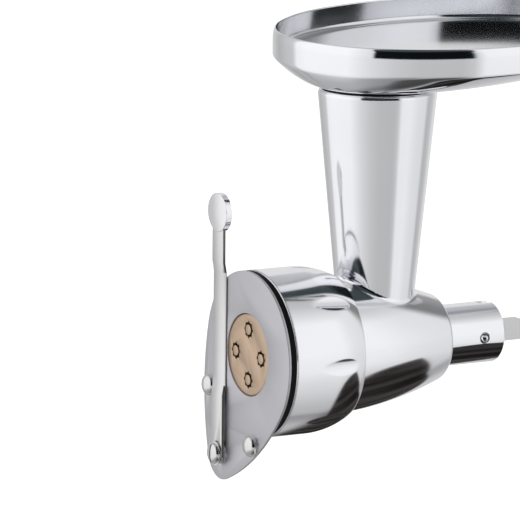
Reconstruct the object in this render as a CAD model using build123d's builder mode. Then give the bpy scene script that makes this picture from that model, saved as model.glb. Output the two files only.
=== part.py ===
from build123d import *
from math import cos, hypot, radians, sin, sqrt
import os

os.makedirs("parts", exist_ok=True)

# Grinder attachment for a mixer hub, with a pasta die and a swinging cut-off blade.
# Millimetres. The origin is on the barrel axis at the rear shoulder, the front faces -Y and +Z is up.

# Fits shared by several pieces
slip_gap = 0.1
swing_gap = 0.25
running_gap = 0.05
loose_gap = 0.3

# Barrel casting
barrel_length = 95.4
barrel_wall = 5.2
barrel_mid_y = -26.4
barrel_mid_radius = 30.0
barrel_rear_y = -2.5
barrel_rear_radius = 23.0
shoulder_radius = 20.0
rear_wall = 5.5
thread_radius = 34.5
thread_length = 33.4

# Rear spigot that enters the mixer hub
spigot_radius = 16.0
spigot_length = 35.0
spigot_chamfer = 1.2
index_slot_width = 6.0
index_slot_length = 9.0
index_slot_depth = 2.5
lock_dimple_radius = 3.0
lock_dimple_y = 22.0

# Feed tube, a taper that stands on the barrel
tube_y = -35.2
tube_top_z = 132.4
tube_top_radius = 30.8
tube_taper = 0.098
tube_wall = 3.0
tube_root_fillet = 3.0
tube_lip_fillet = 2.4

# Feed tray, an oval pan whose throat is near one end
tray_turn = 31.0
tray_near_reach = 33.0
tray_long_radius = 119.0
tray_short_radius = 88.0
tray_rim_z = 157.2
tray_wall_height = 14.5
tray_wall = 1.8
tray_edge_fillet = 1.2
tray_floor_fillet = 2.5
tray_rim_fillet = 0.8
tray_throat_radius = 29.0
tray_collar_length = 18.0

# Worm
worm_gap = 0.6
worm_front_gap = 8.0
worm_root_front_radius = 16.0
worm_root_rear_radius = 11.5
worm_pitch = 25.0
flight_rear_gap = 3.1
flight_root_width = 6.0
flight_tip_width = 3.0
flight_sections_per_turn = 16
stud_square = 9.0
stud_square_length = 6.5
stud_shank_radius = 5.0
stud_shank_length = 20.0
stud_journal_radius = 3.5
stud_journal_depth = 6.0

# Drive shaft and its bearing
shaft_radius = 8.0
shaft_socket_depth = 24.0
shaft_overrun = 1.0
tang_square = 10.0
tang_length = 18.0
tang_chamfer = 1.0
drive_pin_radius = 2.0
drive_pin_inset = 8.0
bush_outer_radius = 11.0
bush_length = 24.0
seal_length = 6.0
seal_inset = 4.0
washer_outer_radius = 15.0
washer_thickness = 1.5

# Brass pasta die
die_radius = 31.0
die_flange_thickness = 6.0
die_seat_depth = 3.5
die_boss_radius = 21.0
die_boss_chamfer = 0.5
die_recess = 0.4
die_land = 4.0
opening_count = 4
opening_circle_radius = 13.0
opening_radius = 3.75
opening_entry_radius = 5.2
tooth_count = 8
tooth_radius = 0.65
core_radius = 2.65
core_bridge_width = 2.4
core_bridge_thickness = 3.0
locating_pin_radius = 1.5
locating_pin_length = 9.0

# Ring nut
nut_lip_thickness = 5.0
nut_lip_radius = 27.0
nut_radius = 43.0
nut_rear_radius = 38.2
nut_length = 43.3
nut_straight = 23.0
nut_edge_fillet = 1.2
grip_count = 8
grip_radius = 10.0
grip_start = 17.0
grip_slope = 0.12
grip_phase = -2.0

# Black collar that snaps through the ring nut and carries the cutter plate
collar_flange_thickness = 3.0
collar_flange_radius = 42.7
snap_rim_length = 2.2
snap_rim_height = 1.6
snap_slot_count = 6
snap_slot_width = 2.0

# Cutter plate, a disc with a lobe
plate_thickness = 1.5
plate_radius = 43.0
plate_hole_gap = 0.3
plate_neck_length = 8.0
lobe_angle = 26.0
lobe_reach = 62.5
lobe_tip_radius = 14.0
lobe_side_radius = 140.0
stop_pin_along = 38.0
stop_pin_across = 25.0
stop_pin_radius = 5.5
stop_pin_height = 3.2
stop_pin_side = 1.2
stop_pin_shank_radius = 2.5

# Cutter lever and its pivot
lever_width = 11.4
lever_thickness = 1.6
lever_lift = 1.2
lever_length = 125.7
lever_lower_end = 31.0
lever_upper_start = 95.0
lever_joggle = 5.0
lever_upper_lift = 0.9
bevel_width = 2.4
bevel_depth = 1.1
knob_radius = 10.0
knob_thickness = 4.0
knob_proud = 1.0
knob_grip_depth = 9.0
knob_chamfer = 0.4
pivot_shoulder_radius = 3.0
pivot_thread_radius = 2.5
pivot_head_radius = 5.75
pivot_head_height = 3.0
pivot_head_side = 0.8
pivot_thread_overrun = 1.0
spring_washer_thickness = 0.5
spacer_radius = 6.2
pivot_nut_across = 8.0
pivot_nut_thickness = 4.0

# Stations along the barrel axis, from the mouth forwards and rearwards
mouth_y = -barrel_length
die_seat_y = mouth_y + die_seat_depth
die_front_y = die_seat_y - die_flange_thickness
collar_rear_y = die_front_y - slip_gap
lip_rear_y = collar_rear_y - snap_rim_length - slip_gap
nut_front_y = lip_rear_y - nut_lip_thickness
nut_rear_y = nut_front_y + nut_length
collar_seat_y = nut_front_y - slip_gap
plate_rear_y = collar_seat_y - collar_flange_thickness
plate_front_y = plate_rear_y - plate_thickness
die_face_y = plate_front_y + die_recess
die_depth = die_seat_y - die_face_y
thread_rear_y = mouth_y + thread_length
chamber_rear_y = -rear_wall
washer_front_y = chamber_rear_y - washer_thickness
worm_rear_y = washer_front_y - loose_gap
worm_front_y = die_seat_y + worm_front_gap
journal_front_y = die_seat_y - stud_journal_depth
tang_front_y = spigot_length + shaft_overrun
drive_pin_y = worm_rear_y - drive_pin_inset

# Radii that follow from the fits
chamber_front_radius = thread_radius - barrel_wall
chamber_mid_radius = barrel_mid_radius - barrel_wall
chamber_rear_radius = barrel_rear_radius - barrel_wall
seat_radius = die_radius + loose_gap
nut_bore_radius = thread_radius + loose_gap
neck_radius = nut_lip_radius - loose_gap
plate_hole_radius = die_boss_radius + plate_hole_gap
plate_neck_radius = plate_hole_radius + plate_thickness
shaft_bore_radius = shaft_radius + running_gap

# The lobe and the pivot, seen from the front with x to the right and z up
lobe_x = -sin(radians(lobe_angle))
lobe_z = -cos(radians(lobe_angle))
pivot_x = lobe_reach * lobe_x
pivot_z = lobe_reach * lobe_z


# A plane across the barrel axis at one station, facing the front
def across(station):
    return Plane.XZ.offset(-station)


# A plane across the barrel axis with its x direction down the plate's lobe
def along_lobe(station):
    return Plane(origin=(0, station, 0), x_dir=(lobe_x, 0, lobe_z), z_dir=(0, -1, 0))


# A level plane over the feed tube, with its x direction along the tray
def over_tube(height):
    turn = radians(tray_turn)
    return Plane(origin=(0, tube_y, height), x_dir=(-sin(turn), cos(turn), 0), z_dir=(0, 0, 1))


# The feed tube's outer radius at one height
def tube_radius(height):
    return tube_top_radius - tube_taper * (tube_top_z - height)


# The level edges of a piece at one height
def edges_at(piece, height):
    return piece.edges().filter_by_position(Axis.Z, height - slip_gap, height + slip_gap)


# A half plane beside the barrel axis, with its x direction outwards and its y direction to the rear
def beside_axis(turn):
    return Plane(origin=(0, 0, 0), x_dir=(cos(turn), 0, sin(turn)), z_dir=(-sin(turn), 0, cos(turn)))


# The worm chamber's radius at one station, on a parabola through the chamber's three radii
def chamber_radius(station):
    if station < thread_rear_y:
        return chamber_front_radius
    front_slope = (chamber_mid_radius - chamber_front_radius) / (barrel_mid_y - thread_rear_y)
    rear_slope = (chamber_rear_radius - chamber_mid_radius) / (chamber_rear_y - barrel_mid_y)
    bend = (rear_slope - front_slope) / (chamber_rear_y - thread_rear_y)
    from_front = station - thread_rear_y
    return chamber_front_radius + from_front * (front_slope + bend * (station - barrel_mid_y))


# A ring about the barrel axis between two stations
def barrel_ring(front_y, rear_y, outer_radius, inner_radius=0.0, mode=Mode.ADD):
    with BuildSketch(across(rear_y)) as ring:
        Circle(outer_radius)
        if inner_radius > 0:
            Circle(inner_radius, mode=Mode.SUBTRACT)
    extrude(ring.sketch, amount=rear_y - front_y, mode=mode)


# Housing: barrel, rear spigot and feed tube in one casting
with BuildPart() as grinder_housing:
    with BuildSketch(Plane.XY):
        with BuildLine():
            thread = Line((thread_radius, mouth_y), (thread_radius, thread_rear_y))
            flank = ThreePointArc(
                thread @ 1, (barrel_mid_radius, barrel_mid_y), (barrel_rear_radius, barrel_rear_y)
            )
            shoulder = TangentArc(flank @ 1, (shoulder_radius, 0), tangent=flank % 1)
            Polyline(
                shoulder @ 1,
                (spigot_radius, 0),
                (spigot_radius, spigot_length - spigot_chamfer),
                (spigot_radius - spigot_chamfer, spigot_length),
                (0, spigot_length),
                (0, mouth_y),
                thread @ 0,
            )
        make_face()
    revolve(axis=Axis.Y)
    with BuildSketch(over_tube(tube_top_z)):
        Circle(tube_top_radius)
    with BuildSketch(over_tube(0)):
        Circle(tube_radius(0))
    loft()
    fillet(grinder_housing.edges(Select.NEW), tube_root_fillet)
    fillet(grinder_housing.edges().group_by(Axis.Z)[-1], tube_lip_fillet)
    with BuildSketch(Plane.XY):
        with BuildLine():
            bore = Line((chamber_front_radius, die_seat_y), (chamber_front_radius, thread_rear_y))
            curve = ThreePointArc(
                bore @ 1, (chamber_mid_radius, barrel_mid_y), (chamber_rear_radius, chamber_rear_y)
            )
            Polyline(curve @ 1, (0, chamber_rear_y), (0, die_seat_y), bore @ 0)
        make_face()
    revolve(axis=Axis.Y, mode=Mode.SUBTRACT)
    barrel_ring(mouth_y, die_seat_y, seat_radius, mode=Mode.SUBTRACT)
    barrel_ring(chamber_rear_y, spigot_length, bush_outer_radius, mode=Mode.SUBTRACT)
    with BuildSketch(over_tube(tube_top_z)):
        Circle(tube_top_radius - tube_wall)
    with BuildSketch(over_tube(0)):
        Circle(tube_radius(0) - tube_wall)
    loft(mode=Mode.SUBTRACT)
    with BuildSketch(across(spigot_length)):
        with Locations((0, spigot_radius)):
            Rectangle(index_slot_width, 2 * index_slot_depth)
    extrude(amount=index_slot_length, mode=Mode.SUBTRACT)
    with Locations(Plane(origin=(spigot_radius, lock_dimple_y, 0), z_dir=(1, 0, 0))):
        Sphere(lock_dimple_radius, mode=Mode.SUBTRACT)
    with Locations(Plane(origin=(0, mouth_y, seat_radius), z_dir=(0, -1, 0))):
        Hole(locating_pin_radius, locating_pin_length)
grinder_housing.part.label = "grinder_housing"
export_step(grinder_housing.part, "parts/grinder_housing.step")

# Feed tray
throat_z = tube_top_z + slip_gap
tray_edge_z = tray_rim_z - tray_wall_height
tray_offset = tray_long_radius - tray_near_reach
collar_radius = tube_top_radius - tube_wall - loose_gap
throat_radius = collar_radius - tray_wall
with BuildPart() as feed_tray:
    with BuildSketch(over_tube(throat_z)):
        Circle(tray_throat_radius)
    with BuildSketch(over_tube(tray_edge_z)):
        with Locations((tray_offset, 0)):
            Ellipse(tray_long_radius, tray_short_radius)
    loft()
    with BuildSketch(over_tube(tray_edge_z)):
        with Locations((tray_offset, 0)):
            Ellipse(tray_long_radius, tray_short_radius)
    extrude(amount=tray_wall_height)
    fillet(edges_at(feed_tray, tray_edge_z), tray_edge_fillet)
    with BuildSketch(over_tube(throat_z + tray_wall)):
        Circle(throat_radius)
    with BuildSketch(over_tube(tray_edge_z + tray_wall)):
        with Locations((tray_offset, 0)):
            Ellipse(tray_long_radius - tray_wall, tray_short_radius - tray_wall)
    loft(mode=Mode.SUBTRACT)
    with BuildSketch(over_tube(tray_edge_z + tray_wall)):
        with Locations((tray_offset, 0)):
            Ellipse(tray_long_radius - tray_wall, tray_short_radius - tray_wall)
    extrude(amount=tray_wall_height, mode=Mode.SUBTRACT)
    fillet(edges_at(feed_tray, tray_edge_z + tray_wall), tray_floor_fillet)
    fillet(edges_at(feed_tray, tray_rim_z), min(tray_rim_fillet, 0.45 * tray_wall))
    with BuildSketch(over_tube(throat_z + tray_wall)):
        Circle(collar_radius)
    with BuildSketch(over_tube(throat_z - tray_collar_length)):
        Circle(collar_radius - tube_taper * (tray_collar_length + tray_wall))
    loft()
    with BuildSketch(over_tube(throat_z + tray_wall)):
        Circle(throat_radius)
    with BuildSketch(over_tube(throat_z - tray_collar_length)):
        Circle(throat_radius - tube_taper * (tray_collar_length + tray_wall))
    loft(mode=Mode.SUBTRACT)
feed_tray.part.label = "feed_tray"
export_step(feed_tray.part, "parts/feed_tray.step")

# Worm: a tapered root with one helical flight, lofted through radial sections that follow the chamber
flight_travel = worm_rear_y - worm_front_y - flight_root_width - flight_rear_gap
worm_turns = flight_travel / worm_pitch
flight_steps = round(worm_turns * flight_sections_per_turn)
with BuildPart() as worm:
    for step in range(flight_steps + 1):
        turned = radians(360 * worm_turns * step / flight_steps)
        station = worm_front_y + flight_root_width / 2 + flight_travel * step / flight_steps
        tip_radius = chamber_radius(station) - worm_gap
        with BuildSketch(beside_axis(turned)):
            with BuildLine():
                Polyline(
                    (stud_shank_radius, station - flight_root_width / 2),
                    (tip_radius, station - flight_tip_width / 2),
                    (tip_radius, station + flight_tip_width / 2),
                    (stud_shank_radius, station + flight_root_width / 2),
                    close=True,
                )
            make_face()
    loft()
    with BuildSketch(Plane.XY):
        with BuildLine():
            Polyline(
                (0, worm_front_y),
                (worm_root_front_radius, worm_front_y),
                (worm_root_rear_radius, worm_rear_y),
                (0, worm_rear_y),
                close=True,
            )
        make_face()
    revolve(axis=Axis.Y)
    barrel_ring(worm_front_y, worm_front_y + stud_shank_length, stud_shank_radius, mode=Mode.SUBTRACT)
    barrel_ring(worm_rear_y - shaft_socket_depth, worm_rear_y, shaft_radius, mode=Mode.SUBTRACT)
    with BuildSketch(Plane.XY.offset(-chamber_front_radius)):
        with Locations((0, drive_pin_y)):
            Circle(drive_pin_radius)
    extrude(amount=2 * chamber_front_radius, mode=Mode.SUBTRACT)
worm.part.label = "worm"
export_step(worm.part, "parts/worm.step")

# Stud pressed into the front of the worm, with a square and a journal that runs in the die
with BuildPart() as worm_stud:
    barrel_ring(worm_front_y, worm_front_y + stud_shank_length, stud_shank_radius)
    with BuildSketch(across(worm_front_y)):
        Rectangle(stud_square, stud_square)
    extrude(amount=stud_square_length)
    barrel_ring(journal_front_y, worm_front_y, stud_journal_radius)
worm_stud.part.label = "worm_stud"
export_step(worm_stud.part, "parts/worm_stud.step")

# Drive shaft with a square tang for the mixer's drive
with BuildPart() as drive_shaft:
    barrel_ring(worm_rear_y - shaft_socket_depth, tang_front_y, shaft_radius)
    with BuildSketch(across(tang_front_y)):
        Rectangle(tang_square, tang_square)
    extrude(amount=-tang_length)
    chamfer(drive_shaft.faces().sort_by(Axis.Y)[-1].edges(), tang_chamfer)
    with BuildSketch(Plane.XY.offset(-shaft_radius)):
        with Locations((0, drive_pin_y)):
            Circle(drive_pin_radius)
    extrude(amount=2 * shaft_radius, mode=Mode.SUBTRACT)
drive_shaft.part.label = "drive_shaft"
export_step(drive_shaft.part, "parts/drive_shaft.step")

# Cross pin that drives the worm
drive_pin_half = worm_root_rear_radius - slip_gap
with BuildPart() as drive_pin:
    with BuildSketch(Plane.XY.offset(-drive_pin_half)):
        with Locations((0, drive_pin_y)):
            Circle(drive_pin_radius)
    extrude(amount=2 * drive_pin_half)
drive_pin.part.label = "drive_pin"
export_step(drive_pin.part, "parts/drive_pin.step")

# Bearing bush, shaft seal and thrust washer behind the worm
with BuildPart() as rear_bush:
    barrel_ring(chamber_rear_y, chamber_rear_y + bush_length, bush_outer_radius, shaft_bore_radius)
rear_bush.part.label = "rear_bush"
export_step(rear_bush.part, "parts/rear_bush.step")

seal_rear_y = spigot_length - seal_inset
with BuildPart() as shaft_seal:
    barrel_ring(seal_rear_y - seal_length, seal_rear_y, bush_outer_radius, shaft_bore_radius)
shaft_seal.part.label = "shaft_seal"
export_step(shaft_seal.part, "parts/shaft_seal.step")

with BuildPart() as thrust_washer:
    barrel_ring(washer_front_y, chamber_rear_y, washer_outer_radius, shaft_bore_radius)
thrust_washer.part.label = "thrust_washer"
export_step(thrust_washer.part, "parts/thrust_washer.step")

# Pin at the mouth that keeps the die from turning
with BuildPart() as locating_pin:
    with BuildSketch(across(mouth_y + locating_pin_length)):
        with Locations((0, seat_radius)):
            Circle(locating_pin_radius)
    extrude(amount=locating_pin_length)
locating_pin.part.label = "locating_pin"
export_step(locating_pin.part, "parts/locating_pin.step")

# Brass die: a clamped flange, a boss that fills the plate's hole, and ring-shaped openings with teeth
with BuildPart() as pasta_die:
    barrel_ring(die_front_y, die_seat_y, die_radius)
    barrel_ring(die_face_y, die_front_y, die_boss_radius)
    chamfer(pasta_die.edges().group_by(Axis.Y)[0], die_boss_chamfer)
    barrel_ring(
        journal_front_y - loose_gap, die_seat_y, stud_journal_radius + running_gap, mode=Mode.SUBTRACT
    )
    with BuildSketch(across(die_seat_y)):
        with Locations((0, seat_radius)):
            Circle(locating_pin_radius + loose_gap)
    extrude(amount=die_flange_thickness, mode=Mode.SUBTRACT)
    with BuildSketch(across(die_seat_y)):
        with PolarLocations(opening_circle_radius, opening_count):
            Circle(opening_entry_radius)
    extrude(amount=die_depth - die_land, mode=Mode.SUBTRACT)
    with BuildSketch(across(die_seat_y)):
        with PolarLocations(opening_circle_radius, opening_count):
            Circle(opening_radius)
            with PolarLocations(opening_radius, tooth_count):
                Circle(tooth_radius)
    extrude(amount=die_depth, mode=Mode.SUBTRACT)
pasta_die.part.label = "pasta_die"
export_step(pasta_die.part, "parts/pasta_die.step")

# Core pins that make the pasta hollow, each hung from a bridge in its entry
with BuildPart() as die_cores:
    with BuildSketch(across(die_seat_y)):
        with PolarLocations(opening_circle_radius, opening_count):
            Circle(core_radius)
    extrude(amount=die_depth)
    with BuildSketch(across(die_seat_y)):
        with PolarLocations(opening_circle_radius, opening_count):
            SlotOverall(2 * opening_entry_radius, core_bridge_width)
    extrude(amount=core_bridge_thickness)
die_cores.part.label = "die_cores"
export_step(die_cores.part, "parts/die_cores.step")

# Ring nut with finger grips that deepen towards the rear
grip_tilt = hypot(1, grip_slope)
grip_planes = []
for step in range(grip_count):
    angle = radians(grip_phase + step * 360 / grip_count)
    radial = Vector(cos(angle), 0, sin(angle))
    floor_start = radial * (nut_radius + grip_radius * grip_tilt) + Vector(0, nut_front_y + grip_start, 0)
    along_floor = Vector(0, 1, 0) - radial * grip_slope
    grip_planes.append(Plane(origin=floor_start, x_dir=(-sin(angle), 0, cos(angle)), z_dir=along_floor))
with BuildPart() as ring_nut:
    with BuildSketch(Plane.XY) as nut_half:
        with BuildLine():
            side = Line((nut_radius, nut_front_y), (nut_radius, nut_front_y + nut_straight))
            tail = TangentArc(side @ 1, (nut_rear_radius, nut_rear_y), tangent=side % 1)
            Polyline(
                tail @ 1,
                (nut_bore_radius, nut_rear_y),
                (nut_bore_radius, lip_rear_y),
                (nut_lip_radius, lip_rear_y),
                (nut_lip_radius, nut_front_y),
                side @ 0,
            )
        make_face()
        for end in (0, -1):
            fillet(nut_half.vertices().group_by(Axis.Y)[end].sort_by(Axis.X)[-1], nut_edge_fillet)
    revolve(axis=Axis.Y)
    with BuildSketch(*grip_planes):
        Circle(grip_radius)
    extrude(amount=nut_length, mode=Mode.SUBTRACT)
ring_nut.part.label = "ring_nut"
export_step(ring_nut.part, "parts/ring_nut.step")

# Collar: a visible flange, a neck through the ring nut, and a slotted rim that snaps behind its lip
with BuildPart() as snap_collar:
    barrel_ring(plate_rear_y, collar_seat_y, collar_flange_radius, plate_neck_radius)
    barrel_ring(collar_seat_y, collar_rear_y, neck_radius, plate_neck_radius)
    barrel_ring(
        collar_rear_y - snap_rim_length, collar_rear_y, neck_radius + snap_rim_height, plate_neck_radius
    )
    with BuildSketch(across(collar_rear_y)):
        with PolarLocations(neck_radius, snap_slot_count):
            Rectangle(2 * (snap_rim_height + neck_radius - plate_neck_radius), snap_slot_width)
    extrude(amount=collar_rear_y - collar_seat_y, mode=Mode.SUBTRACT)
snap_collar.part.label = "snap_collar"
export_step(snap_collar.part, "parts/snap_collar.step")

# Cutter plate: disc and lobe joined by wide arcs that touch both from inside, with a drawn neck
disc_offset = lobe_side_radius - plate_radius
tip_offset = lobe_side_radius - lobe_tip_radius
side_x = (disc_offset**2 - tip_offset**2 + lobe_reach**2) / (2 * lobe_reach)
side_w = sqrt(disc_offset**2 - side_x**2)
on_disc = (-side_x * plate_radius / disc_offset, side_w * plate_radius / disc_offset)
on_tip = (
    lobe_reach + (lobe_reach - side_x) * lobe_tip_radius / tip_offset,
    side_w * lobe_tip_radius / tip_offset,
)
with BuildPart() as cutter_plate:
    with BuildSketch(along_lobe(plate_rear_y)):
        with BuildLine():
            TangentArc((-plate_radius, 0), on_disc, tangent=(0, 1))
            edge = RadiusArc(on_disc, on_tip, lobe_side_radius)
            TangentArc(on_tip, (lobe_reach + lobe_tip_radius, 0), tangent=edge % 1)
            mirror(about=Plane.XZ)
        make_face()
        Circle(plate_hole_radius, mode=Mode.SUBTRACT)
        with Locations((stop_pin_along, stop_pin_across), (stop_pin_along, -stop_pin_across)):
            Circle(stop_pin_shank_radius, mode=Mode.SUBTRACT)
        with Locations((lobe_reach, 0)):
            Circle(pivot_thread_radius, mode=Mode.SUBTRACT)
    extrude(amount=plate_thickness)
    barrel_ring(plate_rear_y, plate_rear_y + plate_neck_length, plate_neck_radius, plate_hole_radius)
cutter_plate.part.label = "cutter_plate"
export_step(cutter_plate.part, "parts/cutter_plate.step")


# Half of a domed head, as a face to revolve about its own axis, which points to the front
def domed_half(place, radius, side_height, crown_height):
    sphere_radius = (radius**2 + crown_height**2) / (2 * crown_height)
    with BuildSketch(place) as half:
        with BuildLine():
            Polyline((0, side_height + crown_height), (0, 0), (radius, 0), (radius, side_height))
            RadiusArc((radius, side_height), (0, side_height + crown_height), -sphere_radius)
        make_face()
    return half.sketch


# A plane through a piece's own axis, with its y direction to the front
def through_axis(x, station, z):
    return Plane(origin=(x, station, z), x_dir=(1, 0, 0), z_dir=(0, 0, -1))


# Two domed stop pins
with BuildPart() as stop_pins:
    for across_lobe in (stop_pin_across, -stop_pin_across):
        seat = along_lobe(plate_front_y).from_local_coords((stop_pin_along, across_lobe, 0))
        place = through_axis(seat.X, seat.Y, seat.Z)
        head = domed_half(place, stop_pin_radius, stop_pin_side, stop_pin_height - stop_pin_side)
        revolve(head, axis=Axis(seat, (0, -1, 0)))
    with BuildSketch(along_lobe(plate_rear_y)):
        with Locations((stop_pin_along, stop_pin_across), (stop_pin_along, -stop_pin_across)):
            Circle(stop_pin_shank_radius)
    extrude(amount=plate_thickness)
stop_pins.part.label = "stop_pins"
export_step(stop_pins.part, "parts/stop_pins.step")

# Stations of the pivot stack, from the plate to the screw's head
lever_back_y = plate_front_y - lever_lift
lever_front_y = lever_back_y - lever_thickness
spring_rear_y = lever_front_y - slip_gap
head_seat_y = spring_rear_y - spring_washer_thickness


# A ring about the pivot axis between two stations
def pivot_ring(front_y, rear_y, outer_radius, inner_radius=0.0, mode=Mode.ADD):
    with BuildSketch(across(rear_y)) as ring:
        with Locations((pivot_x, pivot_z)):
            Circle(outer_radius)
            if inner_radius > 0:
                Circle(inner_radius, mode=Mode.SUBTRACT)
    extrude(ring.sketch, amount=rear_y - front_y, mode=mode)


# Shoulder screw, spacer, spring washer and nut of the pivot
with BuildPart() as pivot_screw:
    pivot_ring(head_seat_y, plate_front_y, pivot_shoulder_radius)
    pivot_ring(plate_front_y, plate_rear_y + pivot_nut_thickness + pivot_thread_overrun, pivot_thread_radius)
    place = through_axis(pivot_x, head_seat_y, pivot_z)
    head = domed_half(place, pivot_head_radius, pivot_head_side, pivot_head_height - pivot_head_side)
    revolve(head, axis=Axis(place.origin, (0, -1, 0)))
pivot_screw.part.label = "pivot_screw"
export_step(pivot_screw.part, "parts/pivot_screw.step")

with BuildPart() as pivot_spacer:
    pivot_ring(lever_back_y + slip_gap, plate_front_y, spacer_radius, pivot_shoulder_radius)
pivot_spacer.part.label = "pivot_spacer"
export_step(pivot_spacer.part, "parts/pivot_spacer.step")

with BuildPart() as spring_washer:
    pivot_ring(head_seat_y, spring_rear_y, pivot_head_radius - loose_gap, pivot_shoulder_radius)
spring_washer.part.label = "spring_washer"
export_step(spring_washer.part, "parts/spring_washer.step")

with BuildPart() as pivot_nut:
    with BuildSketch(across(plate_rear_y + pivot_nut_thickness)):
        with Locations((pivot_x, pivot_z)):
            RegularPolygon(pivot_nut_across / 2, 6, major_radius=False)
            Circle(pivot_thread_radius, mode=Mode.SUBTRACT)
    extrude(amount=pivot_nut_thickness)
pivot_nut.part.label = "pivot_nut"
export_step(pivot_nut.part, "parts/pivot_nut.step")

# Cutter lever: a strip that joggles in to wipe the die, with its leading edge ground to a bevel
blade_back_y = plate_front_y - swing_gap
blade_front_y = blade_back_y - lever_thickness
upper_back_y = blade_back_y - lever_upper_lift
upper_front_y = upper_back_y - lever_thickness
strip_top_z = pivot_z + lever_length - knob_radius + knob_grip_depth
blade_lower_z = pivot_z + lever_lower_end + lever_joggle
blade_upper_z = pivot_z + lever_upper_start
strip_back = [
    (lever_back_y, pivot_z - lever_width),
    (lever_back_y, blade_lower_z - lever_joggle),
    (blade_back_y, blade_lower_z),
    (blade_back_y, blade_upper_z),
    (upper_back_y, blade_upper_z + lever_joggle),
    (upper_back_y, strip_top_z),
]
strip_front = [(y - lever_thickness, z) for y, z in reversed(strip_back)]
with BuildPart() as cutter_lever:
    with BuildSketch(Plane.YZ.offset(pivot_x)):
        with BuildLine():
            Polyline(*strip_back, *strip_front, close=True)
        make_face()
    extrude(amount=lever_width / 2, both=True)
    with BuildSketch(across(plate_front_y)):
        with Locations((pivot_x, pivot_z)):
            Circle(lever_width / 2)
            Rectangle(lever_width, strip_top_z - pivot_z, align=(Align.CENTER, Align.MIN))
    extrude(amount=lever_lift + lever_upper_lift + 2 * lever_thickness, mode=Mode.INTERSECT)
    pivot_ring(lever_front_y, lever_back_y, pivot_shoulder_radius + running_gap, mode=Mode.SUBTRACT)
    with BuildSketch(Plane.XY.offset(blade_lower_z)):
        with BuildLine():
            Polyline(
                (pivot_x + lever_width / 2, blade_front_y),
                (pivot_x + lever_width / 2 - bevel_width, blade_front_y),
                (pivot_x + lever_width / 2, blade_front_y + bevel_depth),
                close=True,
            )
        make_face()
    extrude(amount=blade_upper_z - blade_lower_z, mode=Mode.SUBTRACT)
cutter_lever.part.label = "cutter_lever"
export_step(cutter_lever.part, "parts/cutter_lever.step")

# Knob, a thick disc slotted for the end of the strip
knob_front_y = upper_front_y - knob_proud
knob_z = pivot_z + lever_length
with BuildPart() as lever_knob:
    with BuildSketch(across(knob_front_y + knob_thickness)):
        with Locations((pivot_x, knob_z)):
            Circle(knob_radius)
    extrude(amount=knob_thickness)
    chamfer(lever_knob.edges().filter_by(GeomType.CIRCLE), knob_chamfer)
    with BuildSketch(across(upper_back_y)):
        with Locations((pivot_x, strip_top_z)):
            Rectangle(lever_width, 2 * knob_grip_depth, align=(Align.CENTER, Align.MAX))
    extrude(amount=lever_thickness, mode=Mode.SUBTRACT)
lever_knob.part.label = "lever_knob"
export_step(lever_knob.part, "parts/lever_knob.step")
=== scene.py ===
from math import atan2, cos, hypot, pi, radians, sin, sqrt

import bmesh
import bpy
from mathutils import Matrix, Vector


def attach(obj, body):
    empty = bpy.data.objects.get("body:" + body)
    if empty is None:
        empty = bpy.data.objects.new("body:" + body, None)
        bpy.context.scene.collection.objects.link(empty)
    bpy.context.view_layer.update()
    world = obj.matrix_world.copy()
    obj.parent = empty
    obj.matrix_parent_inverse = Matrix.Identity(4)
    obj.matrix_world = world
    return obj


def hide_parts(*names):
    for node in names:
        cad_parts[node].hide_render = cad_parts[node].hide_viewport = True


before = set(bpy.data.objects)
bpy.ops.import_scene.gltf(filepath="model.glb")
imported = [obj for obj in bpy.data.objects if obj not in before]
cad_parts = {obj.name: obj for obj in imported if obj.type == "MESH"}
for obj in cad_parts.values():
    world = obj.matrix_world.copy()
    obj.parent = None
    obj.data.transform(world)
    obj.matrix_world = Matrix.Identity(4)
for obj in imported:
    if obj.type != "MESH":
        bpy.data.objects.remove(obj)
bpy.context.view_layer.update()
print("frame loaded:", len(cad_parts), "nodes")

scene = bpy.context.scene
metre = 0.001                       # pieces are drawn in millimetres


# A socket of a node tree: sums of these add Math nodes, node() adds any other node

class Wire:
    def __init__(self, tree, socket=None):
        self.tree, self.socket = tree, socket

    def node(self, kind, settings=None, values=None, out=0):
        made = self.tree.nodes.new(kind)
        for name, value in (settings or {}).items():
            if name == "stops":
                self.fillRamp(made.color_ramp, value)
            else:
                setattr(made, name, value)
        for key, value in (values or {}).items():
            if isinstance(value, Wire):
                self.tree.links.new(value.socket, made.inputs[key])
            else:
                made.inputs[key].default_value = value
        return Wire(self.tree, made.outputs[out] if made.outputs else None)

    def other(self, out):           # another output of the same node
        return Wire(self.tree, self.socket.node.outputs[out])

    @staticmethod
    def fillRamp(ramp, stops):
        while len(ramp.elements) < len(stops):
            ramp.elements.new(1.0)
        for element, (place, shade) in zip(ramp.elements, stops):
            element.position = place
            element.color = (shade, shade, shade, 1)

    def maths(self, operation, *terms):
        return self.node("ShaderNodeMath", {"operation": operation}, dict(enumerate(terms)))

    def vector(self, operation, values=None, out=0):
        return self.node("ShaderNodeVectorMath", {"operation": operation}, {0: self, **(values or {})}, out)

    def ease(self, start, end):     # 0 before start, 1 after end
        return self.node("ShaderNodeMapRange", {"interpolation_type": "SMOOTHSTEP"},
                         {"Value": self, "From Min": start, "From Max": end})

    def __add__(self, other):
        return self.maths("ADD", self, other)

    def __sub__(self, other):
        return self.maths("SUBTRACT", self, other)

    def __rsub__(self, other):
        return self.maths("SUBTRACT", other, self)

    def __mul__(self, other):
        return self.maths("MULTIPLY", self, other)

    def __truediv__(self, other):
        return self.maths("DIVIDE", self, other)

    __radd__, __rmul__ = __add__, __mul__


def newTree(owner):
    owner.use_nodes = True
    owner.node_tree.nodes.clear()
    return Wire(owner.node_tree)


def newFinish(name):
    made = bpy.data.materials.new(name)
    return made, newTree(made)


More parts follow.
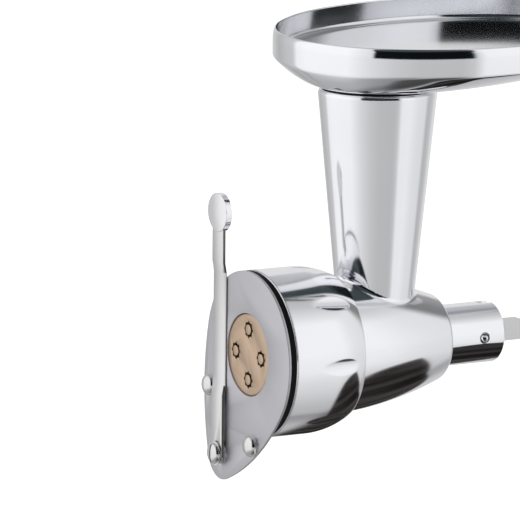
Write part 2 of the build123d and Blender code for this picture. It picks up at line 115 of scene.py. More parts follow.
def objectPlace(wire, centre=(0, 0, 0), stretch=(1, 1, 1)):
    spot = wire.node("ShaderNodeTexCoord", out="Object")
    shift = tuple(-c * s for c, s in zip(centre, stretch))
    return wire.node("ShaderNodeMapping", None, {"Vector": spot, "Location": shift, "Scale": stretch})


def noise(wire, place, scale, detail):
    return wire.node("ShaderNodeTexNoise", None, {"Vector": place, "Scale": scale, "Detail": detail})


def tint(wire, factor, low, high):
    return wire.node("ShaderNodeMix", {"data_type": "RGBA"}, {0: factor, 6: (*low, 1), 7: (*high, 1)}, out=2)


def spread(factor, low, high):
    return factor * (high - low) + low


def bump(wire, height, strength, distance):
    return wire.node("ShaderNodeBump", None, {"Height": height, "Strength": strength, "Distance": distance})


def surface(wire, values):
    shader = wire.node("ShaderNodeBsdfPrincipled", None, values)
    wire.node("ShaderNodeOutputMaterial", None, {"Surface": shader})


def fromAxis(wire, centre):         # the way out from a line along Y
    return objectPlace(wire, centre).vector("MULTIPLY", {1: (1, 0, 1)})


# Finishes: the colour where clean and where hazed, the range of roughness, then what the finish needs besides

finishes = {
    "polish": {"clean": (0.91, 0.912, 0.935), "hazed": (0.86, 0.866, 0.90), "gloss": (0.085, 0.125),
               "ripple": (22, 0.00010)},
    "rolled": {"clean": (0.91, 0.912, 0.935), "hazed": (0.86, 0.866, 0.90), "gloss": (0.045, 0.075),
               "ripple": (16, 0.00010)},
    # the pan's inside: rougher than the outside, and a darker colour that is painted shade in the hollow of
    # the pan
    "inside": {"clean": (0.85, 0.855, 0.88), "hazed": (0.77, 0.78, 0.81), "gloss": (0.085, 0.13),
               "ripple": (26, 0.00012)},
    "dome": {"clean": (0.78, 0.77, 0.77), "hazed": (0.71, 0.70, 0.70), "gloss": (0.08, 0.12),
             "ripple": (120, 0.00004)},
    # near-black metal for the collar faces under the tray's seat: painted shade of the gap between tray and
    # tube
    "seam": {"clean": (0.030, 0.030, 0.032), "hazed": (0.015, 0.015, 0.016), "gloss": (0.40, 0.55),
             "lay": (1, 1, 1), "depth": 0.12},
    "satin": {"clean": (0.65, 0.64, 0.675), "hazed": (0.61, 0.60, 0.635), "gloss": (0.48, 0.58),
              "lay": (1, 1, 1), "depth": 0.12},
    "blade": {"clean": (0.79, 0.785, 0.79), "hazed": (0.73, 0.725, 0.735), "gloss": (0.26, 0.34),
              "lay": (6, 6, 0.4), "depth": 0.12},
    # dark brown steel: a sheared edge on the lever's right side, darkened further as painted shade of the gap
    # beside it; in the screw's slot it is painted shade
    "shearedAndShade": {"clean": (0.30, 0.27, 0.24), "hazed": (0.14, 0.125, 0.11), "gloss": (0.40, 0.55),
                "lay": (1, 4, 1), "depth": 0.12},
    "cast": {"clean": (0.70, 0.70, 0.71), "hazed": (0.58, 0.58, 0.59), "gloss": (0.40, 0.54),
             "lay": (1, 1, 1), "depth": 0.35},
    "turned": {"clean": (0.66, 0.66, 0.67), "hazed": (0.56, 0.56, 0.57), "gloss": (0.20, 0.32),
               "lay": (0.2, 8, 0.2), "depth": 0.12},
    "bronze": {"clean": (0.56, 0.37, 0.22), "hazed": (0.46, 0.30, 0.18), "gloss": (0.30, 0.42),
               "lay": (0.2, 8, 0.2), "depth": 0.12},
    "knob": {"clean": (0.90, 0.90, 0.92), "hazed": (0.84, 0.84, 0.865), "gloss": (0.05, 0.10), "lean": 0.12},
    "brass": {"clean": (0.65, 0.50, 0.38), "hazed": (0.58, 0.43, 0.305), "gloss": (0.36, 0.46), "lean": 0.7},
    "black": {"clean": (0.004, 0.004, 0.0045), "hazed": (0.008, 0.008, 0.009), "gloss": (0.50, 0.62),
              "sheen": 0.08},
    "rubber": {"clean": (0.015, 0.015, 0.016), "hazed": (0.03, 0.03, 0.03), "gloss": (0.55, 0.70),
               "sheen": 0.4},
    "white": {"clean": (0.80, 0.79, 0.76), "hazed": (0.72, 0.71, 0.68), "gloss": (0.40, 0.55), "sheen": 0.5},
}

buffed = {"hazeScale": 38, "hazeDetail": 4, "rippleDetail": 1,
          "lay": (1, 1, 9), "layScale": 160, "layDetail": 2, "layShare": 0.03}


def mirrorPolish(name, lustre):
    made, wire = newFinish(name)
    place = objectPlace(wire)
    rippleScale, rippleDepth = lustre["ripple"]
    haze = noise(wire, place, buffed["hazeScale"], buffed["hazeDetail"])
    lay = noise(wire, objectPlace(wire, stretch=buffed["lay"]), buffed["layScale"], buffed["layDetail"])
    ripple = noise(wire, place, rippleScale, buffed["rippleDetail"])
    surface(wire, {"Base Color": tint(wire, haze, lustre["clean"], lustre["hazed"]), "Metallic": 1.0,
                   "Roughness": spread(haze, *lustre["gloss"]),
                   "Normal": bump(wire, ripple + lay * buffed["layShare"], 1.0, rippleDepth)})
    return made


ground = {"scale": 900, "detail": 3, "height": 0.0002, "hazeScale": 45, "hazeDetail": 4, "hazeShare": 0.6}


def grainedMetal(name, lustre):
    made, wire = newFinish(name)
    grain = noise(wire, objectPlace(wire, stretch=lustre["lay"]), ground["scale"], ground["detail"])
    haze = noise(wire, objectPlace(wire), ground["hazeScale"], ground["hazeDetail"])
    wear = haze * ground["hazeShare"] + grain * (1 - ground["hazeShare"])
    surface(wire, {"Base Color": tint(wire, haze, lustre["clean"], lustre["hazed"]), "Metallic": 1.0,
                   "Roughness": spread(wear, *lustre["gloss"]),
                   "Normal": bump(wire, grain, lustre["depth"], ground["height"])})
    return made


spun = {"pitch": 9000, "ringDetail": 2, "patinaScale": 90, "patinaDetail": 5, "patinaShare": 0.5}


def spunMetal(name, lustre, centre):
    made, wire = newFinish(name)
    outward = fromAxis(wire, centre)
    radius = outward.vector("LENGTH", out="Value")
    across = wire.node("ShaderNodeCombineXYZ", None, {"X": radius})
    rings = noise(wire, across, spun["pitch"], spun["ringDetail"])
    patina = noise(wire, objectPlace(wire), spun["patinaScale"], spun["patinaDetail"])
    wear = patina * spun["patinaShare"] + rings * (1 - spun["patinaShare"])
    swing = (rings - 0.5) * lustre["lean"]          # the turning marks lean in and out
    lean = outward.vector("NORMALIZE").vector("SCALE", {"Scale": swing})
    normal = wire.node("ShaderNodeNewGeometry", out="Normal").vector("ADD", {1: lean}).vector("NORMALIZE")
    surface(wire, {"Base Color": tint(wire, patina, lustre["clean"], lustre["hazed"]), "Metallic": 1.0,
                   "Roughness": spread(wear, *lustre["gloss"]), "Normal": normal})
    return made


mould = {"mottleScale": 60, "mottleDetail": 4, "pebbleScale": 1400, "pebbleDetail": 2, "depth": 0.1,
         "height": 0.0002}


def moulded(name, lustre):
    made, wire = newFinish(name)
    mottle = noise(wire, objectPlace(wire), mould["mottleScale"], mould["mottleDetail"])
    pebble = noise(wire, objectPlace(wire), mould["pebbleScale"], mould["pebbleDetail"])
    surface(wire, {"Base Color": tint(wire, mottle, lustre["clean"], lustre["hazed"]),
                   "Roughness": spread(mottle, *lustre["gloss"]), "Specular IOR Level": lustre["sheen"],
                   "Normal": bump(wire, pebble, mould["depth"], mould["height"])})
    return made


knob = {"centre": (-27.4, 0, 69.5), "radius": 10.0, "front": -113.7, "rear": -109.7, "cone": 0.6, "edge": 0.2,
        "segments": 160}

castingPolish = mirrorPolish("castingPolish", finishes["polish"])
panPolish = mirrorPolish("panPolish", finishes["rolled"])
panInsideShade = mirrorPolish("panInsideShade", finishes["inside"])
# the seam finish is painted shade in the gap under the tray
panSeamShade = grainedMetal("panSeamShade", finishes["seam"])
domePolish = mirrorPolish("domePolish", finishes["dome"])
plateSatin = grainedMetal("plateSatin", finishes["satin"])
bladeSteel = grainedMetal("bladeSteel", finishes["blade"])
# the dark edge finish: partly a sheared edge, partly painted shade
shearedEdgeAndShade = grainedMetal("shearedEdgeAndShade", finishes["shearedAndShade"])
knobSteel = spunMetal("knobSteel", finishes["knob"], [c * metre for c in knob["centre"]])
dieBrass = spunMetal("dieBrass", finishes["brass"], (0, 0, 0))
collarBlack = moulded("collarBlack", finishes["black"])
washerWhite = moulded("washerWhite", finishes["white"])
sealRubber = moulded("sealRubber", finishes["rubber"])
wormCast = grainedMetal("wormCast", finishes["cast"])
shaftTurned = grainedMetal("shaftTurned", finishes["turned"])
bushBronze = grainedMetal("bushBronze", finishes["bronze"])

nodeFinish = {
    "grinder_housing": castingPolish, "feed_tray": panPolish, "ring_nut": castingPolish,
    "snap_collar": collarBlack, "cutter_plate": plateSatin, "pasta_die": dieBrass, "die_cores": dieBrass,
    "stop_pins": domePolish, "cutter_lever": bladeSteel, "lever_knob": knobSteel, "pivot_screw": domePolish,
    "pivot_spacer": bladeSteel, "spring_washer": shaftTurned, "pivot_nut": shaftTurned, "worm": wormCast,
    "worm_stud": shaftTurned, "drive_shaft": shaftTurned, "drive_pin": shaftTurned, "rear_bush": bushBronze,
    "shaft_seal": sealRubber, "thrust_washer": washerWhite, "locating_pin": shaftTurned,
}
for name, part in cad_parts.items():
    part.data.materials.clear()
    part.data.materials.append(nodeFinish[name])
print("finishes on", len(nodeFinish), "nodes")


# Pieces

weld = 0.0005                       # points nearer than this are one


def finishPiece(bm, name, looks, body, node=None, crease=30):
    bmesh.ops.remove_doubles(bm, verts=bm.verts, dist=weld)
    bmesh.ops.recalc_face_normals(bm, faces=bm.faces)
    bmesh.ops.scale(bm, vec=(metre, metre, metre), verts=bm.verts)
    mesh = bpy.data.meshes.new(name)
    bm.to_mesh(mesh)
    bm.free()
    mesh.shade_smooth()
    mesh.set_sharp_from_angle(angle=radians(crease))
    for look in looks:
        mesh.materials.append(look)
    piece = bpy.data.objects.new(name, mesh)
    scene.collection.objects.link(piece)
    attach(piece, body)
    if node:
        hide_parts(node)
    print("piece", name, len(mesh.polygons), "faces")
    return piece


def roundEdges(bm, edges, width, segments):
    bmesh.ops.bevel(bm, geom=edges, offset=width, offset_type="OFFSET", segments=segments, profile=0.5,
                    affect="EDGES", material=-1, clamp_overlap=False)


def lathe(bm, outline, segments):   # turn (radius, station) points round the Y axis
    chain = [bm.verts.new((radius, station, 0)) for radius, station in outline]
    edges = [bm.edges.new(pair) for pair in zip(chain, chain[1:])]
    bmesh.ops.spin(bm, geom=chain + edges, cent=(0, 0, 0), axis=(0, 1, 0), angle=radians(360), steps=segments,
                   use_merge=True)
    bmesh.ops.remove_doubles(bm, verts=bm.verts, dist=weld)


tray = {                            # each rounding: width, segments
    "segments": 288, "turn": 31.0, "tubeY": -35.2, "reach": 86.0, "longRadius": 118.97, "shortRadius": 87.97,
    "wall": 1.8, "throatRadius": 29.0, "boreRadius": 25.7, "collarTaper": 0.098, "collarFoot": 114.5,
    "seat": 132.5, "gapHeight": 0.6, "edge": 142.7, "rim": 157.19,
    "rollDrop": 5.8, "rollDraw": 1.5, "rollSteps": 12, "lipInset": 0.15, "lipDrop": 0.1, "innerDrop": 0.5,
    "swellSteps": 10, "underSwell": 2.0, "bedSwell": 1.2, "hold": 0.4,
    "edgeRound": (1.2, 5), "floorRound": (2.5, 6), "throatRound": (1.2, 5), "seatRound": (0.4, 3),
}


def traySection(reach, longRadius, shortRadius, height):
    return (Matrix.Translation((0, tray["tubeY"], height)) @ Matrix.Rotation(radians(tray["turn"]), 4, "Z")
            @ Matrix.Translation((0, reach, 0)) @ Matrix.Diagonal((shortRadius, longRadius, 1, 1)))


def panSection(inset, height):      # an oval section of the wall
    return traySection(tray["reach"], tray["longRadius"] - inset, tray["shortRadius"] - inset, height)


def throatSection(radius, height):
    return traySection(0, radius, radius, height)


def swellSection(step, radius, low, inset, high, swell):    # between throat and wall the pan swells downwards
    share = step / tray["swellSteps"]
    longRadius = radius + (tray["longRadius"] - inset - radius) * share
    shortRadius = radius + (tray["shortRadius"] - inset - radius) * share
    return traySection(tray["reach"] * share, longRadius, shortRadius, low + (high - low) * share ** swell)


def traySections():                 # from the collar's foot out to the rim, and back down inside
    wall, bore, throat = tray["wall"], tray["boreRadius"], tray["throatRadius"]
    seat, edge, rim, taper = tray["seat"], tray["edge"], tray["rim"], tray["collarTaper"]
    foot = bore - taper * (seat + wall - tray["collarFoot"])
    gap, floor, inner = seat + tray["gapHeight"], edge + wall, rim - tray["innerDrop"]
    sections = {
        "footIn": throatSection(foot, tray["collarFoot"]),
        "footOut": throatSection(foot + wall, tray["collarFoot"]),
        "neck": throatSection(bore + wall - taper * wall, seat),
        "seat": throatSection(throat, seat),
        "gap": throatSection(throat, gap),
    }
    swells = range(1, tray["swellSteps"])
    for step in swells:
        sections["under", step] = swellSection(step, throat, gap, 0, edge, tray["underSwell"])
    sections["edge"] = panSection(0, edge)
    for step in range(tray["rollSteps"] + 1):       # the rim draws in over a quarter of an ellipse
        lift = radians(90) * step / tray["rollSteps"]
        draw, drop = tray["rollDraw"] * (1 - cos(lift)), tray["rollDrop"] * (1 - sin(lift))
        sections["roll", step] = panSection(draw, rim - drop)
    sections["lip"] = panSection(wall - tray["lipInset"], rim - tray["lipDrop"])
    sections["inner"] = panSection(wall, inner)
    sections["wallTop"] = panSection(wall, inner - tray["hold"])    # two loops that hold the shading
    sections["wallFoot"] = panSection(wall, floor + tray["floorRound"][0] + tray["hold"])
    sections["floor"] = panSection(wall, floor)
    for step in reversed(swells):
        sections["bed", step] = swellSection(step, bore, seat + wall, wall, floor, tray["bedSwell"])
    sections["throat"] = throatSection(bore, seat + wall)
    return sections


def buildTray():
    bm = bmesh.new()
    bmesh.ops.create_circle(bm, cap_ends=False, segments=tray["segments"], radius=1)
    verts, loops, last, before = bm.verts[:], {}, None, Matrix.Identity(4)
    for key, after in traySections().items():
        if last:
            grown = bmesh.ops.extrude_edge_only(bm, edges=loops[last])["geom"]
            verts = [g for g in grown if isinstance(g, bmesh.types.BMVert)]
        bmesh.ops.transform(bm, matrix=after @ before.inverted(), verts=verts)
        ring = set(verts)
        loops[key] = list(dict.fromkeys(e for v in verts for e in v.link_edges if e.other_vert(v) in ring))
        last, before = key, after
    bmesh.ops.bridge_loops(bm, edges=loops["footIn"] + loops["throat"])
    bmesh.ops.recalc_face_normals(bm, faces=bm.faces)
    beds = [key for key in loops if key[0] == "bed"]
    # the inside faces take the darker inside finish: painted shade in the pan's hollow
    inside = ["inner", "wallTop", "wallFoot", "floor", *beds, "throat", "footIn"]
    # the collar faces down to the seat take the near-black seam finish: painted shade in the gap
    seam = ["footOut", "neck", "seat", "gap"]
    for index, keys in enumerate((inside, seam), 1):
        ring = {v for key in keys for e in loops[key] for v in e.verts}
        for face in bm.faces:
            if all(v in ring for v in face.verts):
                face.material_index = index
    roundEdges(bm, loops["edge"], *tray["edgeRound"])
    roundEdges(bm, loops["floor"], *tray["floorRound"])
    roundEdges(bm, loops["throat"], *tray["throatRound"])
    roundEdges(bm, loops["seat"] + loops["footOut"] + loops["footIn"], *tray["seatRound"])
    looks = [panPolish, panInsideShade, panSeamShade]
    return finishPiece(bm, "trayPan", looks, "tray", "feed_tray")


nut = {                             # each rounding: width, segments
    "front": -105.3, "rear": -62.0, "radius": 43.0, "tailStart": -82.3, "tailBend": 45.33, "bore": 34.8,
    "lip": 27.0, "lipRear": -100.3, "round": (1.2, 5), "lipRound": (0.4, 2), "segments": 640, "rows": 72,
    "grips": 8, "gripRadius": 10.0, "gripStart": -91.0, "gripSlope": 0.105, "gripPhase": -2.0,
    "gripSoft": 0.2, "gripWall": 2.0,
}


def nutRadius(station):
    past = max(0.0, station - nut["tailStart"])
    return nut["radius"] - nut["tailBend"] + sqrt(nut["tailBend"] ** 2 - past ** 2)


def scooped(radius, turn, station):         # the radius after the finger grips, with softened edges
    step, grip, slope, soft = 2 * pi / nut["grips"], nut["gripRadius"], nut["gripSlope"], nut["gripSoft"]
    off = (turn - radians(nut["gripPhase"]) + step / 2) % step - step / 2
    axis = nut["radius"] + grip * hypot(1, slope) - slope * (station - nut["gripStart"])
    inside = grip ** 2 - (axis * sin(off)) ** 2
    if inside <= 0:
        return radius
    scoop = axis * cos(off) - sqrt(inside)
    near = max(soft - abs(radius - scoop), 0) / soft
    return min(radius, scoop) - near * near * soft / 4


def rimEdges(bm, radius, station, reach=0.01):
    level = [v for v in bm.verts if abs(v.co.y - station) < reach]
    rim = {v for v in level if abs(hypot(v.co.x, v.co.z) - radius) < reach}
    return [e for e in bm.edges if all(v in rim for v in e.verts)]


def buildNut():
    front, rear, bore, lip, lipRear = (nut[key] for key in ("front", "rear", "bore", "lip", "lipRear"))
    bm = bmesh.new()
    stations = [front + (rear - front) * k / nut["rows"] for k in range(nut["rows"] + 1)]
    outline = [(nutRadius(s), s) for s in stations]
    outline += [(bore, rear), (bore, lipRear), (lip, lipRear), (lip, front), outline[0]]
    lathe(bm, outline, nut["segments"])
    bmesh.ops.recalc_face_normals(bm, faces=bm.faces)
    roundEdges(bm, rimEdges(bm, nut["radius"], front), *nut["round"])
    roundEdges(bm, rimEdges(bm, nutRadius(rear), rear), *nut["round"])
    roundEdges(bm, rimEdges(bm, lip, front) + rimEdges(bm, bore, rear), *nut["lipRound"])
    for v in bm.verts:
        radius = hypot(v.co.x, v.co.z)
        if radius > bore + nut["gripWall"]:
            share = scooped(radius, atan2(v.co.z, v.co.x), v.co.y) / radius
            v.co.x, v.co.z = v.co.x * share, v.co.z * share
    return finishPiece(bm, "gripNut", [castingPolish], "nut", "ring_nut")


thread = {                          # a rib wound round the barrel's mouth, hidden until the nut comes off
    "root": 34.4, "crest": 34.74, "rootWidth": 2.2, "crestWidth": 1.3, "pitch": 4.0, "start": -93.6,
    "turns": 7, "turnSteps": 120,
}


def buildThread():
    root, crest, turns, turnSteps = (thread[key] for key in ("root", "crest", "turns", "turnSteps"))
    halfRoot, halfCrest = thread["rootWidth"] / 2, thread["crestWidth"] / 2
    bm = bmesh.new()
    corners = [(root, -halfRoot), (crest, -halfCrest), (crest, halfCrest), (root, halfRoot)]
    chain = [bm.verts.new((radius, thread["start"] + along, 0)) for radius, along in corners]
    edges = [bm.edges.new(pair) for pair in zip(chain, chain[1:] + chain[:1])]
    bmesh.ops.spin(bm, geom=chain + edges, cent=(0, 0, 0), axis=(0, 1, 0), angle=radians(360) * turns,
                   steps=turns * turnSteps, dvec=(0, thread["pitch"] / turnSteps, 0))
    bmesh.ops.holes_fill(bm, edges=[e for e in bm.edges if e.is_boundary], sides=len(corners))
    return finishPiece(bm, "barrelThread", [castingPolish], "housing")


def buildKnob():
    rear, radius, edge, brim = knob["rear"], knob["radius"], knob["edge"], knob["front"] + knob["cone"]
    bm = bmesh.new()
    outline = [(0, knob["front"]), (radius - edge, brim), (radius, brim + edge), (radius, rear - edge),
               (radius - edge, rear), (0, rear)]
    lathe(bm, outline, knob["segments"])
    bmesh.ops.translate(bm, vec=knob["centre"], verts=bm.verts)
    return finishPiece(bm, "knobDisc", [knobSteel], "lever", "lever_knob")


pins = {                            # the heads sit a little off the shanks
    "heads": [(-38.8, -22.5), (5.4, -46.4)], "radius": 5.55, "front": -114.0, "dome": 2.9, "square": 1.0,
    "foot": [(5.55, -109.9)],
    "shanks": [(-39.125, -23.195), (5.815, -45.113)], "shank": [(2.5, -111.0), (2.5, -108.4)],
    "rows": 14, "segments": 96,
}
screw = {
    "heads": [(-27.398, -56.175)], "radius": 5.5, "front": -116.3, "dome": 2.55, "square": 0.8,
    "foot": [(6.2, -113.7), (6.2, -113.3)],
    "shanks": [(-27.398, -56.175)], "shank": [(3.0, -114.0), (3.0, -109.9), (2.5, -109.9), (2.5, -103.4)],
    "rows": 14, "segments": 96, "slotWidth": 1.0, "slotDepth": 1.0,
}


def cutSlot(bm, shape):             # a screwdriver slot, upright across the head
    half, level = shape["slotWidth"] / 2, shape["front"] + shape["slotDepth"]
    for side in (-half, half):
        bmesh.ops.bisect_plane(bm, geom=bm.verts[:] + bm.edges[:] + bm.faces[:], plane_co=(side, 0, 0),
                               plane_no=(1, 0, 0))
    centres = {face: face.calc_center_median() for face in bm.faces}
    over = [face for face, centre in centres.items() if abs(centre.x) < half and centre.y < level]
    grown = bmesh.ops.extrude_face_region(bm, geom=over)["geom"]
    sunk = [g for g in grown if isinstance(g, bmesh.types.BMVert)]
    bmesh.ops.scale(bm, vec=(1, 0, 1), verts=sunk)
    bmesh.ops.translate(bm, vec=(0, level, 0), verts=sunk)
    bmesh.ops.delete(bm, geom=over, context="FACES")
    for face in bm.faces:           # the slot's own faces take the second finish, a dark one: painted shade in the slot
        face.material_index = int(face not in centres)


def addTurned(whole, outline, shape, place, slotted=False):
    x, z = place
    bm = bmesh.new()
    lathe(bm, outline, shape["segments"])
    if slotted:
        cutSlot(bm, shape)
    bmesh.ops.translate(bm, vec=(x, 0, z), verts=bm.verts)
    part = bpy.data.meshes.new("turned")
    bm.to_mesh(part)
    bm.free()
    whole.from_mesh(part)
    bpy.data.meshes.remove(part)


def buildDomes(name, shape, node):  # turned pins with domed heads, squarer where the power is under 1
    radius, front, dome, square = (shape[key] for key in ("radius", "front", "dome", "square"))
    turns = [radians(90) * row / shape["rows"] for row in range(shape["rows"] + 1)]
    head = [(radius * sin(turn) ** square, front + dome * (1 - cos(turn) ** square)) for turn in turns]
    head += shape["foot"] + [(0, shape["foot"][-1][1])]
    shank = [(0, shape["shank"][0][1]), *shape["shank"], (0, shape["shank"][-1][1])]
    whole = bmesh.new()
    for place in shape["heads"]:
        addTurned(whole, head, shape, place, slotted="slotWidth" in shape)
    for place in shape["shanks"]:
        addTurned(whole, shank, shape, place)
    # where there is a slot, the second finish paints shade in it
    return finishPiece(whole, name, [domePolish, shearedEdgeAndShade], "cutter_head", node)


copied = {"weld": 0.001, "flat": 0.5, "sharp": 25, "segments": 2}
plate = {"round": 0.25}
blade = {"round": 0.22, "shearedAndShadedTurn": 0.96}
die = {"round": 0.40, "face": -109.45}
cores = {"round": 0.20, "proud": 0.2}


# A copy of a node with its edges broken, in front of a station, and moved forwards there

def softCopy(node, name, looks, body, width, paint=None, front=0, proud=0):
    bm = bmesh.new()
    bm.from_mesh(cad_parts[node].data)
    bmesh.ops.scale(bm, vec=(1 / metre,) * 3, verts=bm.verts)
    bmesh.ops.remove_doubles(bm, verts=bm.verts, dist=copied["weld"])
    bmesh.ops.dissolve_limit(bm, angle_limit=radians(copied["flat"]), verts=bm.verts, edges=bm.edges)
    bmesh.ops.recalc_face_normals(bm, faces=bm.faces)
    bmesh.ops.translate(bm, vec=(0, -proud, 0), verts=[v for v in bm.verts if v.co.y < front])
    edges = [e for e in bm.edges if len(e.link_faces) == 2 and e.calc_face_angle() > radians(copied["sharp"])
             and all(v.co.y < front for v in e.verts)]
    roundEdges(bm, edges, width, copied["segments"])
    if paint:
        bm.normal_update()
        for face in bm.faces:
            face.material_index = paint(face)
    return finishPiece(bm, name, looks, body, node)


buildTray()
buildNut()
buildThread()
buildKnob()
buildDomes("stopDomes", pins, "stop_pins")
buildDomes("pivotHead", screw, "pivot_screw")
softCopy("cutter_plate", "plateDisc", [plateSatin], "cutter_head", plate["round"])
# the strip's right side faces take the dark edge finish: a sheared edge with painted shade of the gap under
# the strip
softCopy("cutter_lever", "bladeStrip", [bladeSteel, shearedEdgeAndShade], "lever", blade["round"],
         paint=lambda face: int(face.normal.x > blade["shearedAndShadedTurn"]))
softCopy("pasta_die", "dieDisc", [dieBrass], "housing", die["round"], front=die["face"])
softCopy("die_cores", "coreTips", [dieBrass], "housing", cores["round"], front=die["face"],
         proud=cores["proud"])
print("pieces built")


# Stage

studio = {
    "backdrop": 1.05, "floorSize": 4.0, "floorSegments": 96, "floorLevel": -0.32,
    "floorShade": (0.93, 0.93, 0.93), "floorRoughness": 0.9, "floorGlow": 0.72,
    # round the object: degrees from the front, brightness
    "around": [(-180, 0.52), (-165, 0.60), (-150, 0.80), (-120, 0.79), (-105, 0.64), (-90, 0.50),
               (-75, 0.60), (-64, 0.64), (-58, 1.0), (-45, 1.06), (2, 1.05), (12, 0.95), (25, 0.82),
               (45, 0.68), (65, 0.60), (95, 0.58), (103, 0.66), (110, 0.98), (130, 0.99), (150, 0.86),
               (170, 0.82), (180, 0.52)],
    # from straight down to straight up: sine of the height, share of that brightness
    "height": [(-1.0, 0.45), (-0.9, 0.60), (-0.7, 0.70), (-0.5, 0.80), (-0.3, 0.94), (-0.1, 0.96),
               (0.05, 1.0), (0.6, 1.0), (0.8, 0.75), (1.0, 0.4)],
    # the unlit room beyond the camera: between these degrees, above this height, wider and paler higher up
    "openTurn": (28, 103), "openFrom": (-0.085, -0.03), "openEdge": 2.0, "openWiden": (0.35, 0.35),
    "openDepth": 0.99, "openTop": (0.40, 0.68), "openTopDepth": 0.86, "openTint": (0.74, 0.95, 1.0),
    # the table's shade, low down and to the front
    "tableFrom": (-0.58, -0.36), "tableFront": (0.25, 0.45), "tableShare": 0.58,
    # single shades: turn, rise, full within, gone beyond (degrees), share of brightness
    "shades": [(-160, 33, 14, 27, 0.42), (82, -60, 12, 27, 0.2), (12, -66, 8, 22, 0.7)],
}


def stagePiece(bm, name, finish):
    mesh = bpy.data.meshes.new(name)
    bm.to_mesh(mesh)
    bm.free()
    mesh.materials.append(finish)
    piece = bpy.data.objects.new(name, mesh)
    scene.collection.objects.link(piece)
    return piece


def compass(turn, rise):            # the way to a point of the sky, from degrees
    across = cos(radians(rise))
    return Vector((sin(radians(turn)) * across, -cos(radians(turn)) * across, sin(radians(rise))))


def buildWorld():
    world = bpy.data.worlds.new("studio")
    scene.world = world
    wire = newTree(world)
    way = wire.node("ShaderNodeTexCoord", out="Generated")
    east = wire.node("ShaderNodeSeparateXYZ", None, {"Vector": way})
    front = east.other("Y") * -1.0
    high = east.other("Z")
    turn = wire.maths("ARCTAN2", east, front)
    turnStops = [(degrees / 360 + 0.5, shade) for degrees, shade in studio["around"]]
    around = wire.node("ShaderNodeValToRGB", {"stops": turnStops}, {"Fac": turn / radians(360) + 0.5})
    heightStops = [((sine + 1) / 2, shade) for sine, shade in studio["height"]]
    height = wire.node("ShaderNodeValToRGB", {"stops": heightStops}, {"Fac": high / 2 + 0.5})
    start, end = (radians(degrees) for degrees in studio["openTurn"])
    edge, (above, rate) = radians(studio["openEdge"]), studio["openWiden"]
    widen = wire.maths("MAXIMUM", high - above, 0.0) * rate
    opened = (turn + widen).ease(start - edge, start + edge)
    closed = (turn - widen).ease(end - edge, end + edge)
    room = opened * (1 - closed) * high.ease(*studio["openFrom"])
    lit = 1 - room * spread(high.ease(*studio["openTop"]), studio["openDepth"], studio["openTopDepth"])
    table = (1 - high.ease(*studio["tableFrom"])) * front.ease(*studio["tableFront"])
    lit = lit * (1 - table * (1 - studio["tableShare"]))
    for degrees, rise, full, gone, share in studio["shades"]:
        facing = way.vector("DOT_PRODUCT", {1: compass(degrees, rise)}, out="Value")
        lit = lit * (1 - facing.ease(cos(radians(gone)), cos(radians(full))) * (1 - share))
    tent = wire.node("ShaderNodeBackground", None, {"Color": tint(wire, room, (1, 1, 1), studio["openTint"]),
                                                    "Strength": around * height * lit})
    plain = wire.node("ShaderNodeBackground", None, {"Color": (1, 1, 1, 1), "Strength": studio["backdrop"]})
    seen = wire.node("ShaderNodeLightPath", out="Is Camera Ray")
    both = wire.node("ShaderNodeMixShader", None, {0: seen, 1: tent, 2: plain})
    wire.node("ShaderNodeOutputWorld", None, {"Surface": both})


def buildFloor():
    finish, wire = newFinish("paleFloor")
    surface(wire, {"Base Color": (*studio["floorShade"], 1), "Roughness": studio["floorRoughness"],
                   "Emission Color": (1, 1, 1, 1), "Emission Strength": studio["floorGlow"]})
    bm = bmesh.new()
    bmesh.ops.create_circle(bm, cap_ends=True, segments=studio["floorSegments"], radius=studio["floorSize"])
    bmesh.ops.translate(bm, vec=(0, 0, studio["floorLevel"]), verts=bm.verts)
    floor = stagePiece(bm, "paleFloor", finish)
    floor.visible_glossy = False


flag = {                            # a dark round card under the object, seen only in reflections
    "centre": (-0.040, 0.230, -0.150), "radius": 0.262, "soft": 0.93, "segments": 64,
    "cuts": [(40.3, 0.0912), (11.3, 0.1314)], "cutSoft": 0.008,     # left out past both lines: turn, distance
    "streak": (26, 3, 1), "streakDetail": 2, "streakFrom": 0.30, "streakFull": 0.80,
    "dark": (0.005, 0.004, 0.004), "pale": (0.075, 0.070, 0.066),
}


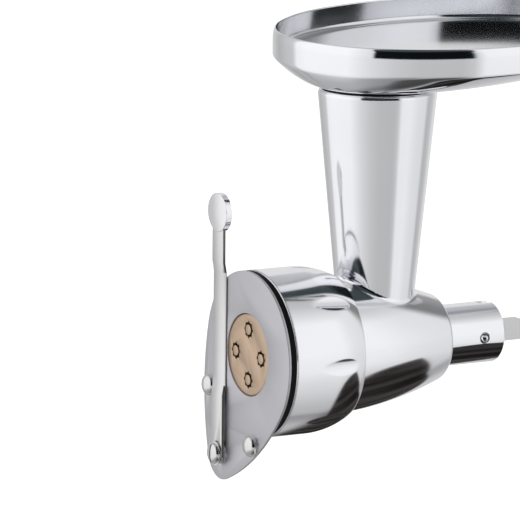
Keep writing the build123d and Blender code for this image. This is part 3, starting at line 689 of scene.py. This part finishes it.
def buildFlag():
    finish, wire = newFinish("flagBelow")
    out = objectPlace(wire, flag["centre"]).vector("LENGTH", out="Value") / flag["radius"]
    beyond = 1.0
    for degrees, distance in flag["cuts"]:
        across = Vector((-sin(radians(degrees)), cos(radians(degrees)), 0))
        past = objectPlace(wire).vector("DOT_PRODUCT", {1: across}, out="Value")
        beyond = beyond * past.ease(distance, distance + flag["cutSoft"])
    kept = (1 - out.ease(flag["soft"], 1.0)) * (1 - beyond)
    streaks = noise(wire, objectPlace(wire, stretch=flag["streak"]), 1.0, flag["streakDetail"])
    streaks = streaks.ease(flag["streakFrom"], flag["streakFull"])
    dark = wire.node("ShaderNodeEmission", None, {"Color": tint(wire, streaks, flag["dark"], flag["pale"])})
    clear = wire.node("ShaderNodeBsdfTransparent")
    both = wire.node("ShaderNodeMixShader", None, {0: kept, 1: clear, 2: dark})
    wire.node("ShaderNodeOutputMaterial", None, {"Surface": both})
    bm = bmesh.new()
    bmesh.ops.create_circle(bm, cap_ends=True, segments=flag["segments"], radius=flag["radius"])
    bmesh.ops.translate(bm, vec=flag["centre"], verts=bm.verts)
    card = stagePiece(bm, "flagBelow", finish)
    card.visible_camera = card.visible_diffuse = card.visible_shadow = False


buildWorld()
buildFloor()
buildFlag()
scene.view_settings.view_transform = "Standard"
print("stage built")


# Camera

view = {"turn": 60.711, "rise": 10.232, "roll": 0.548, "aim": (0, -108.4, 0), "right": 5.067, "up": 48.103,
        "distance": 2541.683, "lens": 346.15, "sensor": 36, "clipEnd": 100}


def buildCamera():
    turn, tilt, roll = radians(view["turn"]), radians(90 - view["rise"]), radians(view["roll"])
    axes = Matrix.Rotation(turn, 3, "Z") @ Matrix.Rotation(tilt, 3, "X") @ Matrix.Rotation(roll, 3, "Z")
    eye = Vector(view["aim"]) + axes @ Vector((view["right"], view["up"], view["distance"]))
    data = bpy.data.cameras.new("photoView")
    data.lens, data.sensor_width, data.clip_end = view["lens"], view["sensor"], view["clipEnd"]
    camera = bpy.data.objects.new("photoView", data)
    camera.matrix_world = Matrix.Translation(eye * metre) @ axes.to_4x4()
    scene.collection.objects.link(camera)
    scene.camera = camera


buildCamera()
print("camera set")
